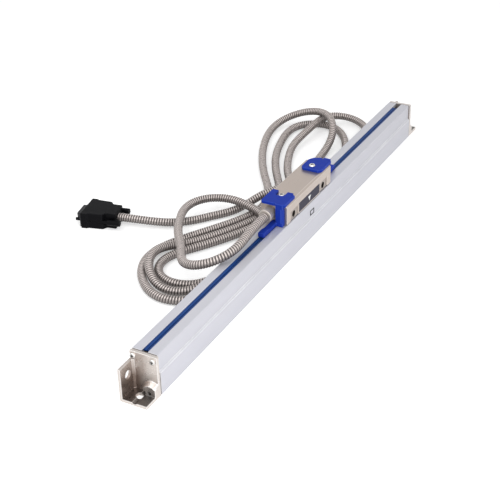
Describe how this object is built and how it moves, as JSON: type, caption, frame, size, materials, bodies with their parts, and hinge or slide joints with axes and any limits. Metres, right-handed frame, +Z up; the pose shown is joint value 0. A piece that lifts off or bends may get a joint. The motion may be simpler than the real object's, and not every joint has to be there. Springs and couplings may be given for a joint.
{
  "type": "linear glass scale",
  "caption": "Sealed linear encoder: slotted housing with a glass scale, sliding reader head, transit clips, armoured cable and D-sub plug.",
  "frame": {"origin": "on the housing's underside, below the middle of the slot", "axes": "+X along the housing towards its far end, -Y out of the front face, +Z up through the slot"},
  "size_m": [0.542, 0.2144, 0.0595],
  "materials": {
    "profile": "satin anodised",
    "seal": "smooth",
    "scale_glass": "polished",
    "bond": "matte",
    "end_block": "nickel-plated casting",
    "gasket": "matte",
    "bright_screw": "polished",
    "head": "satin nickel",
    "label": "satin",
    "inner_steel": "satin",
    "spring": "bright",
    "carriage": "matte anodised",
    "lamp": "glossy",
    "clear_glass": "polished",
    "board": "solder mask",
    "diode": "glossy",
    "flex": "satin film",
    "clip": "satin moulded",
    "gland": "nickel-plated",
    "lead": "matte",
    "conduit": "satin metal hose",
    "hood": "fine grained",
    "plug_shell": "tin-plated",
    "insulator": "smooth",
    "contact": "gold-plated",
    "roller": "ground"
  },
  "bodies": {
    "housing": {"housing_extrusion": "profile", "lip_seal_front": "seal", "lip_seal_back": "seal", "glass_scale": "scale_glass", "glass_bond_strip": "bond", "end_block_near": "end_block", "end_block_far": "end_block", "end_gasket_near": "gasket", "end_gasket_far": "gasket", "end_screws_near": "bright_screw", "end_screws_far": "bright_screw"},
    "reader_head": {"head_body": "head", "head_base_plate": "inner_steel", "base_plate_screws": "bright_screw", "head_label_plate": "label", "scanning_arm": "inner_steel", "arm_screws": "bright_screw", "coupling_wire": "inner_steel", "preload_spring": "spring", "carriage_frame": "carriage", "roller_pins": "inner_steel", "light_source": "lamp", "condenser_lens": "clear_glass", "index_grating": "clear_glass", "detector_board": "board", "photodiode_array": "diode", "flex_lead": "flex", "signal_board": "board", "board_screws": "bright_screw", "transit_clip_near": "clip", "transit_clip_far": "clip", "clip_screws": "bright_screw", "cable_gland": "gland", "gland_collar": "gland", "lead_bundle": "lead", "cable_conduit": "conduit", "hood_lower": "hood", "hood_upper": "hood", "hood_screws": "bright_screw", "plug_leads": "lead", "cable_clamp": "inner_steel", "dsub_shell": "plug_shell", "dsub_insulator": "insulator", "contact_pins": "contact"},
    "face_roller_a": {"face_roller_a": "roller"},
    "face_roller_b": {"face_roller_b": "roller"},
    "face_roller_c": {"face_roller_c": "roller"},
    "edge_roller_a": {"edge_roller_a": "roller"},
    "edge_roller_b": {"edge_roller_b": "roller"},
    "thumbscrew_a": {"thumbscrew_a": "hood"},
    "thumbscrew_b": {"thumbscrew_b": "hood"}
  },
  "joints": [
    {"name": "head_slide", "type": "slide", "parent": "housing", "child": "reader_head", "axis": [1, 0, 0], "range_m": [-0.208, 0.192]},
    {"name": "face_roller_a_spin", "type": "hinge", "parent": "reader_head", "child": "face_roller_a", "pos_m": [-0.026, -0.0011, 0.017], "axis": [0, 0, 1], "continuous": true},
    {"name": "face_roller_b_spin", "type": "hinge", "parent": "reader_head", "child": "face_roller_b", "pos_m": [0.042, -0.0011, 0.017], "axis": [0, 0, 1], "continuous": true},
    {"name": "face_roller_c_spin", "type": "hinge", "parent": "reader_head", "child": "face_roller_c", "pos_m": [0.008, -0.0011, 0.0096], "axis": [0, 0, 1], "continuous": true},
    {"name": "edge_roller_a_spin", "type": "hinge", "parent": "reader_head", "child": "edge_roller_a", "pos_m": [-0.014, 0.0035, 0.0231], "axis": [0, 1, 0], "continuous": true},
    {"name": "edge_roller_b_spin", "type": "hinge", "parent": "reader_head", "child": "edge_roller_b", "pos_m": [0.03, 0.0035, 0.0231], "axis": [0, 1, 0], "continuous": true},
    {"name": "thumbscrew_a_turn", "type": "hinge", "parent": "reader_head", "child": "thumbscrew_a", "pos_m": [-0.05823, 0.1584, 0.0078], "axis": [-0.2079, 0.9781, 0], "continuous": true},
    {"name": "thumbscrew_b_turn", "type": "hinge", "parent": "reader_head", "child": "thumbscrew_b", "pos_m": [-0.03377, 0.1636, 0.0078], "axis": [-0.2079, 0.9781, 0], "continuous": true}
  ],
  "couplings": [
    {"joint": "face_roller_a_spin", "follows": "head_slide", "rad_per_m": 333.33},
    {"joint": "face_roller_b_spin", "follows": "head_slide", "rad_per_m": 333.33},
    {"joint": "face_roller_c_spin", "follows": "head_slide", "rad_per_m": 333.33},
    {"joint": "edge_roller_a_spin", "follows": "head_slide", "rad_per_m": 333.33},
    {"joint": "edge_roller_b_spin", "follows": "head_slide", "rad_per_m": 333.33}
  ]
}
